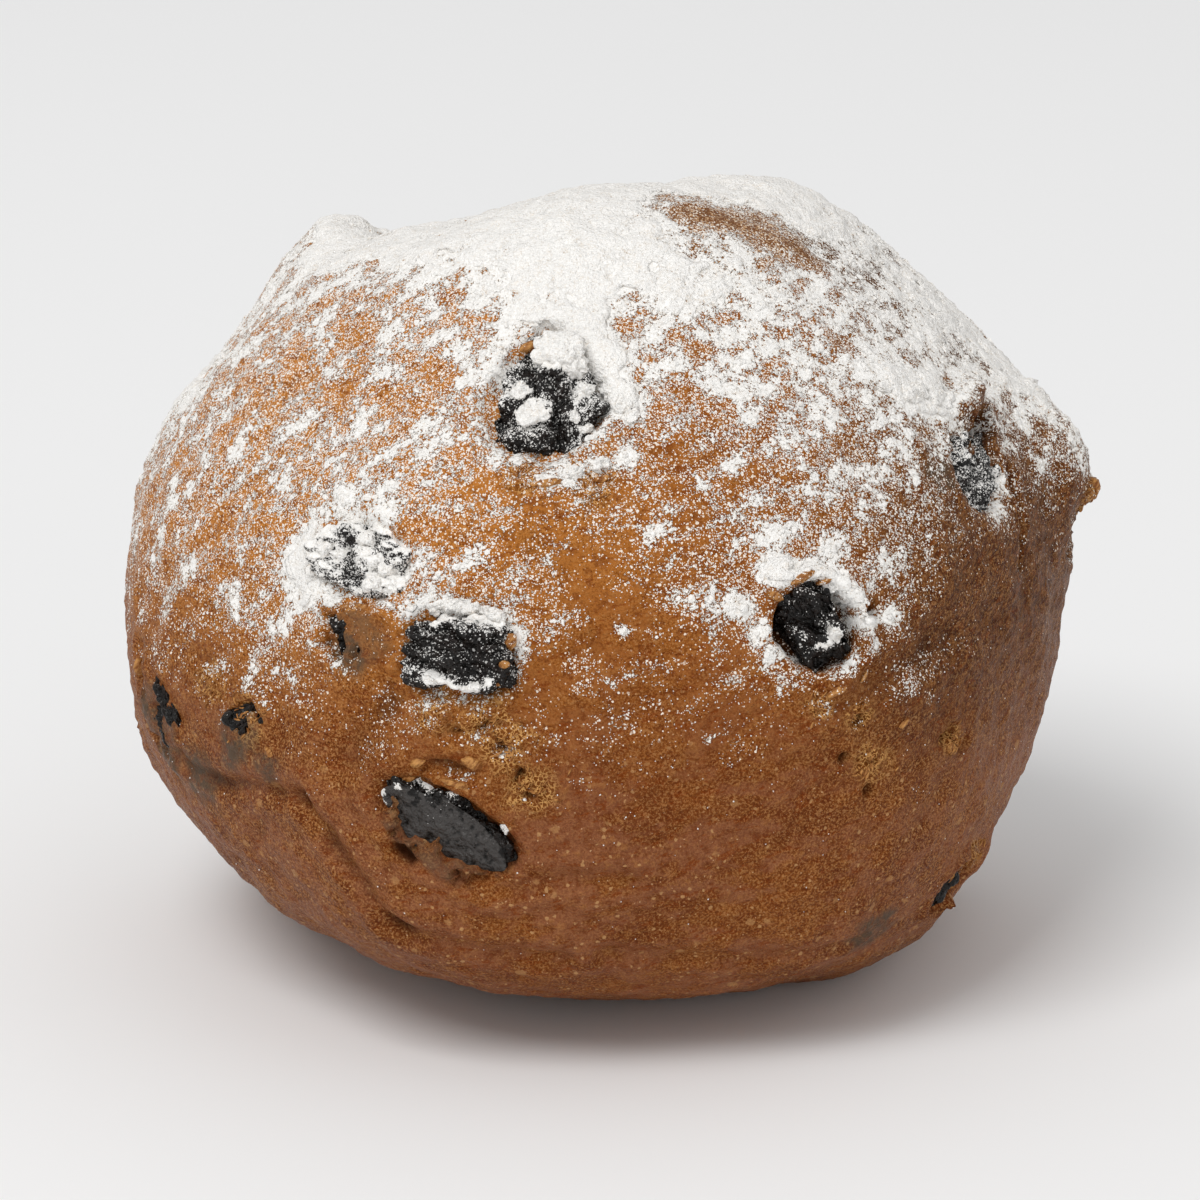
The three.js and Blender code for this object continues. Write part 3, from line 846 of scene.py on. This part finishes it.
def lump(bm, azimuth, elevation, length, width, tall, turn, shift, roundness=4, rough=0.25, sunk=0.3):
    """Adds one uneven lump that lies on the dough or a raisin, its size in mm, with a ragged outline."""
    point, _ = hit(surface, azimuth, elevation)
    out = np.array(hit(smooth_dough, azimuth, elevation)[1])
    along, across = level_frame(out, turn)
    made = bmesh.ops.create_icosphere(bm, subdivisions=roundness, radius=1)["verts"]
    for v in made:
        way = v.co.copy()
        swell = 1 + rough * noise.fractal(way * 1.3 + Vector((shift, 0, 0)), 0.9, 2.0, 4)
        x, y = way.x * length / 2 * swell, way.y * width / 2 * swell
        z = tall * (way.z * swell * (1 - sunk) + min(way.z, 0))
        v.co = point + Vector(along * x + across * y + out * z) * MM
    return made


crumb_finish = Finish("torn_crumb")
threads = crumb_finish.noise(0.5, 3.0, 0.6, crumb_finish.turned((0.4, 1, 1.6), 50))
paleness = crumb_finish.ramp(threads, 0.35, 0.65)
crumb_colour = crumb_finish.mix(paleness, (0.2, 0.06, 0.007, 1), (0.52, 0.25, 0.075, 1))
crumb_finish.skin.inputs["Specular IOR Level"].default_value = 0.25
crumb_gloss = crumb_finish.ramp(threads, 0.3, 0.7, 0.4, 0.55)
dust_with_sugar(crumb_finish, crumb_colour, crumb_gloss, crumb_finish.relief((threads, 0.4)))

shreds = bmesh.new()
for shift, shred in enumerate(SHREDS):
    lump(shreds, *shred, 3.7 * shift, roundness=3)
rng = np.random.default_rng(11)
for number, (azimuth, elevation, spread) in enumerate(TORN):
    for _ in range(STRINGS_PER_TEAR):
        side, up = rng.normal(0, 0.5 * spread, 2)
        turn = rng.uniform(0, 180)
        length, width = rng.uniform(0.4, 1.1), rng.uniform(0.1, 0.2)
        place = azimuth + side / math.cos(math.radians(elevation)), elevation + up
        lump(shreds, *place, length, width, rng.uniform(0.12, 0.28), turn, number + side, roundness=2)
shred_piece = add_piece("torn_shreds", shreds, crumb_finish)
shred_points = places(shreds)
shred_dusting = 0.25 * (elevation_of(shred_points) > 0)
paint(shred_piece.data, "sugar", sugar_level(shred_points, shred_dusting * 0.4))
paint(shred_piece.data, "dusting", shred_dusting)

# ---- The icing sugar ----
# Sifted over the ball from above. It lies as a soft blanket on top, thins out down the sides into slanting
# drifts, and in the last of it single clots and grains stick to the crust and the raisins.

icing = Finish("icing_sugar")
icing.skin.inputs["Specular IOR Level"].default_value = 0.15
fluff = icing.relief((icing.noise(1.2, 3.0, 0.65), 0.26), (icing.noise(0.3, 2.0, 0.7), 0.24))
dust_with_sugar(icing, (0.3, 0.12, 0.03, 1), 0.45, fluff, filled=0.0)

# The blanket is the dough's own surface, lifted wherever the sugar's level is over LAYER_FROM. Its edge runs
# down into the crust, and what lies deeper than BURIED is cut away. Both of the others are in mm.
LAYER_FROM = 1.4
LAYER_THICKNESS = 0.34
BURIED = -0.27

layer = ball.copy()
mark = layer.verts.layers.float.new("sugar")
dusting = layer.verts.layers.float.new("dusting")
lift_way = layer.verts.layers.float_vector.new("way")
layer.normal_update()
for v, value in zip(layer.verts, level):
    v[mark] = value
    v[dusting] = 1
    v[lift_way] = v.normal
bmesh.ops.delete(layer, geom=[v for v in layer.verts if v[mark] < LAYER_FROM - 0.7], context="VERTS")
edging = [e for e in layer.edges if min(abs(v[mark] - LAYER_FROM) for v in e.verts) < 0.3]
bmesh.ops.subdivide_edges(layer, edges=edging, cuts=1)
bmesh.ops.triangulate(layer, faces=layer.faces)
points = places(layer)
way = np.array([v[lift_way] for v in layer.verts])
value = np.array([v[mark] for v in layer.verts]) + 0.9 * ripples(points, 0.8, 2, 131) - LAYER_FROM
puffs = 1 + 0.5 * ripples(points, 1.6, 4, 137)
lift = np.where(value > 0, LAYER_THICKNESS * (1 - np.exp(-value / 1.1)) * puffs, 0.5 * value)
lift = np.maximum(lift, -0.3) + 0.02
move_to(layer, raised(points, way, lift))
buried = [v for v, rise in zip(layer.verts, lift) if rise < BURIED]
bmesh.ops.delete(layer, geom=buried, context="VERTS")
bmesh.ops.delete(layer, geom=[v for v in layer.verts if not v.link_faces], context="VERTS")
blanket = add_piece("sugar_blanket", layer, icing)
underside = blanket.modifiers.new("underside", "SOLIDIFY")
underside.thickness = 0.25 * MM
underside.offset = -1


SUGAR_ONLY = 2.6  # a level through which nothing shows


def all_sugar(piece):
    """Marks a piece as sugar right through."""
    paint(piece.data, "sugar", np.full(len(piece.data.vertices), SUGAR_ONLY))
    paint(piece.data, "dusting", np.ones(len(piece.data.vertices)))


# Heaps, where sugar caught on the raisins and the lips of crust round them: azimuth, elevation, length, width
# and height in mm, and turn in degrees from level right.
HEAPS = [
    (-7.6, 44.2, 4.4, 3, 1.1, -12), (-5.6, 43, 2.4, 1.8, 0.7, -30), (-9.8, 44.6, 2.2, 1.8, 0.6, 20),
    (-10.8, 36.4, 2.8, 2.4, 0.9, 20), (-12, 35.4, 1.6, 1.3, 0.5, 0), (-13.4, 39, 1.7, 1.2, 0.4, 30),
    (-3.6, 40.2, 1.6, 1, 0.5, 20), (-5, 36.4, 1.2, 0.8, 0.4, -30),
    (2.4, 38.6, 2, 1.5, 0.6, -40), (3.8, 37.2, 1.6, 1.4, 0.5, 0), (0.4, 40.4, 1.6, 1.4, 0.5, -20),
    (-3.4, 35.2, 1.5, 0.8, 0.4, 40), (-1.2, 30.2, 2, 0.9, 0.5, 12), (-4.4, 28.8, 1.7, 0.8, 0.4, 16),
    (-31.4, 19, 1.8, 1.2, 0.4, -20), (-27.8, 16.2, 1.4, 1.8, 0.5, 60), (-29, 13.8, 1.8, 1.2, 0.4, 16),
    (-36.6, 17, 1.4, 1.3, 0.4, 40),
    (-20.6, 12.2, 2, 1.3, 0.45, 25), (-18.8, 12.6, 2.6, 2, 0.6, 12), (-16.6, 12.7, 2.6, 2.1, 0.6, 0),
    (-14.4, 12.3, 2.4, 1.8, 0.55, -14), (-12.8, 11.6, 1.8, 1.2, 0.4, -25),
    (-19.6, 4.2, 1.4, 0.7, 0.35, -20), (-17.6, 3.4, 1.8, 0.6, 0.4, 0), (-15.2, 3.6, 1.6, 0.6, 0.35, 8),
    (21.8, 16.6, 2, 1.1, 0.35, 15), (25, 15.6, 2, 1.1, 0.4, -20), (27.6, 13.8, 1.8, 0.9, 0.35, -50),
    (27.4, 8.2, 1.1, 0.45, 0.3, 30), (25.4, 7.2, 1, 0.4, 0.25, 5), (-12, -13.2, 0.7, 1.3, 0.5, 12),
    (59.4, 32.8, 2.8, 1.6, 0.7, 8), (53, 34.6, 2.6, 1.6, 0.7, 0), (56.2, 34.6, 2.6, 1.8, 0.8, 10),
    (49.4, 36.4, 2.2, 1.4, 0.5, -10),
    (2, 10, 0.8, 0.6, 0.3, 0), (135, 30.6, 2.4, 1.5, 0.6, 10), (138.4, 28.4, 1.6, 1.2, 0.5, -30),
    (177, 17.4, 2.4, 1.1, 0.6, -10), (-146, 30.4, 2.2, 1.4, 0.6, 0), (163, 56, 2.8, 2.2, 0.7, 0),
    (166.4, 52.8, 1.7, 1.4, 0.5, 40),
]

heaps = bmesh.new()
for shift, heap in enumerate(HEAPS):
    lump(heaps, *heap, 5.3 * shift, roundness=4, rough=0.45, sunk=0.2)
crumbling = 0.22 * ripples(places(heaps), 0.6, 4, 151)
move_to(heaps, raised(places(heaps), normals(heaps), crumbling))
all_sugar(add_piece("sugar_heaps", heaps, icing))


def corners(bm, levels):
    """The surface's triangles, and the sugar's level in the middle of each."""
    bm.verts.index_update()
    faces = np.array([[v.index for v in face.verts] for face in bm.faces])
    return places(bm)[faces], levels[faces].mean(axis=1)


# All that sugar can fall on: the dough, the heaps and the raisins.
surfaces = [corners(ball, level)]
bmesh.ops.triangulate(heaps, faces=heaps.faces)
surfaces.append(corners(heaps, np.zeros(len(heaps.verts))))
for node, raisin in zip(RAISIN_NODES, raisins):
    raisin_level = np.zeros(len(raisin.verts), dtype=np.float32)
    painted = bpy.data.objects["wrinkled_" + node].data.attributes["sugar"]
    painted.data.foreach_get("value", raisin_level)
    surfaces.append(corners(raisin, raisin_level))
tri_corners, tri_level = (np.concatenate(part) for part in zip(*surfaces))
tri_cross = np.cross(tri_corners[:, 1] - tri_corners[:, 0], tri_corners[:, 2] - tri_corners[:, 0])
tri_area = np.linalg.norm(tri_cross, axis=1)
tri_out = tri_cross / np.maximum(tri_area, 1e-20)[:, None]
tri_height = elevation_of(tri_corners.mean(axis=1))

SHAPES_OF_BITS = 8
CLEAR_OVER_BIT = 6  # mm: nothing else stands nearer than that over a place that sugar falls on


def sprinkle(name, chance, count, low, high, flatness, lift, roundness, seed):
    """Scatters uneven bits of sugar, low to high mm in radius, where chance says, as one piece."""
    rng = np.random.default_rng(seed)
    chance = chance * tri_area * smoothstep(-0.75, 0.1, tri_out[:, 2])
    picks = rng.choice(len(chance), size=int(1.5 * count), p=chance / chance.sum())
    u, w = rng.random((2, len(picks)))
    u, w = np.where(u + w > 1, 1 - u, u), np.where(u + w > 1, 1 - w, w)
    a, b, c = (tri_corners[picks, i] for i in range(3))
    points = a + (b - a) * u[:, None] + (c - a) * w[:, None]
    outs = tri_out[picks]
    starts = points + 0.08 * MM * outs
    reach = CLEAR_OVER_BIT * MM
    free = [surface.ray_cast(Vector(p), Vector(o), reach)[0] is None for p, o in zip(starts, outs)]
    points, outs = points[free][:count], outs[free][:count]
    size = low * (high / low) ** (rng.random(len(points)) ** 1.6)
    spin = rng.random(len(points)) * 2 * math.pi
    side = np.cross(outs, (0.3, 0.2, 0.93))
    side /= np.linalg.norm(side, axis=1)[:, None]
    other = np.cross(outs, side)
    along = side * np.cos(spin)[:, None] + other * np.sin(spin)[:, None]
    across = np.cross(outs, along)
    verts, faces, used = [], [], 0
    for kind in range(SHAPES_OF_BITS):
        bit = bmesh.new()
        if roundness:
            bmesh.ops.create_icosphere(bit, subdivisions=roundness, radius=1)
        else:
            bmesh.ops.create_uvsphere(bit, u_segments=4, v_segments=2, radius=1)
        shape = places(bit)
        shape *= 1 + 0.7 * ripples(shape * MM, 0.9, 2, 17 * kind + seed)[:, None]
        shape *= (1.15, 0.95, flatness)
        corner_numbers = np.array([[v.index for v in face.verts] for face in bit.faces])
        mine = slice(kind, None, SHAPES_OF_BITS)
        p, s = points[mine, None, :], size[mine, None, None] * MM
        placed = p + s * (
            shape[None, :, 0:1] * along[mine, None, :]
            + shape[None, :, 1:2] * across[mine, None, :]
            + (shape[None, :, 2:3] + lift) * outs[mine, None, :]
        )
        verts.append(placed.reshape(-1, 3))
        numbers = corner_numbers[None] + used + len(shape) * np.arange(placed.shape[0])[:, None, None]
        faces.append(numbers.reshape(-1, 3))
        used += placed.shape[0] * len(shape)
    joined = bpy.data.meshes.new(name)
    joined.from_pydata(np.concatenate(verts).tolist(), [], np.concatenate(faces).tolist())
    all_sugar(add_mesh(joined, icing))


on_dough = np.arange(len(tri_level)) < len(ball.faces)
in_drifts = smoothstep(-0.4, 0.5, tri_level) * (1 - smoothstep(0.9, 1.8, tri_level))
in_drifts *= 0.15 + 0.85 * on_dough
at_edges = np.exp(-(((tri_level - 0.1) / 0.7) ** 2))
dusted = smoothstep(-3.2, -0.6, tri_level) * (1 - smoothstep(1.0, 2.2, tri_level))
dusted += 0.028 * (tri_height > -32)
# Coarse to fine: how many, their least and greatest radius in mm, how flat they are, how far their middles
# stand over the surface in radii, how round they are made, and the seed.
sprinkle("sugar_lumps", in_drifts, 1400, 0.18, 0.4, 0.4, 0.0, 2, 3)
sprinkle("sugar_clots", in_drifts, 2400, 0.1, 0.3, 0.5, 0.1, 2, 5)
sprinkle("sugar_flecks", at_edges, 9500, 0.07, 0.16, 0.6, 0.2, 1, 7)
sprinkle("sugar_grains", dusted, 24000, 0.04, 0.09, 0.85, 0.4, 0, 9)

# ---- The studio ----
# A pale plain table, under two wide soft lights and an even white sky. The camera stands half a metre in
# front and a little above, with a long lens.

CAMERA_AIM = Vector((-1.1, 0, 32.4)) * MM
CAMERA_ELEVATION = 16  # degrees
CAMERA_DISTANCE = 0.5  # m
CAMERA_LENS_MM = 166.7
TABLE_HALF_WIDTH = 4  # m

table = bpy.data.meshes.new("table")
top = bmesh.new()
bmesh.ops.create_grid(top, x_segments=1, y_segments=1, size=TABLE_HALF_WIDTH)
top.to_mesh(table)
table_top = new_object("table", table)
white = bpy.data.materials.new("pale_table")
white.use_nodes = True
matt = white.node_tree.nodes["Principled BSDF"].inputs
matt["Base Color"].default_value = (0.9, 0.9, 0.9, 1)
matt["Roughness"].default_value = 0.8
table.materials.append(white)


def aim(thing, azimuth, elevation, distance):
    """Stands a light or the camera that way and that far from the aim, and turns it to look there."""
    away = towards(azimuth, elevation)
    thing.location = CAMERA_AIM + away * distance
    thing.rotation_euler = away.to_track_quat("Z", "Y").to_euler()


def soft_light(name, azimuth, elevation, distance, size, watts):
    """A square light of that size, that far from the aim, both in metres."""
    light = bpy.data.lights.new(name, "AREA")
    light.size = size
    light.energy = watts
    aim(new_object(name, light), azimuth, elevation, distance)


soft_light("key_light", -32, 52, 2.5, 1.2, 32)
soft_light("fill_light", 20, 4, 2.5, 2.0, 12)

world = bpy.data.worlds.new("studio")
bpy.context.scene.world = world
world.use_nodes = True
sky = world.node_tree.nodes["Background"].inputs
sky["Color"].default_value = (1, 1, 1, 1)
sky["Strength"].default_value = 0.6
bpy.context.scene.view_settings.view_transform = "Standard"

camera = bpy.data.cameras.new("camera")
camera.lens = CAMERA_LENS_MM
eye = new_object("camera", camera)
aim(eye, 0, CAMERA_ELEVATION, CAMERA_DISTANCE)
bpy.context.scene.camera = eye
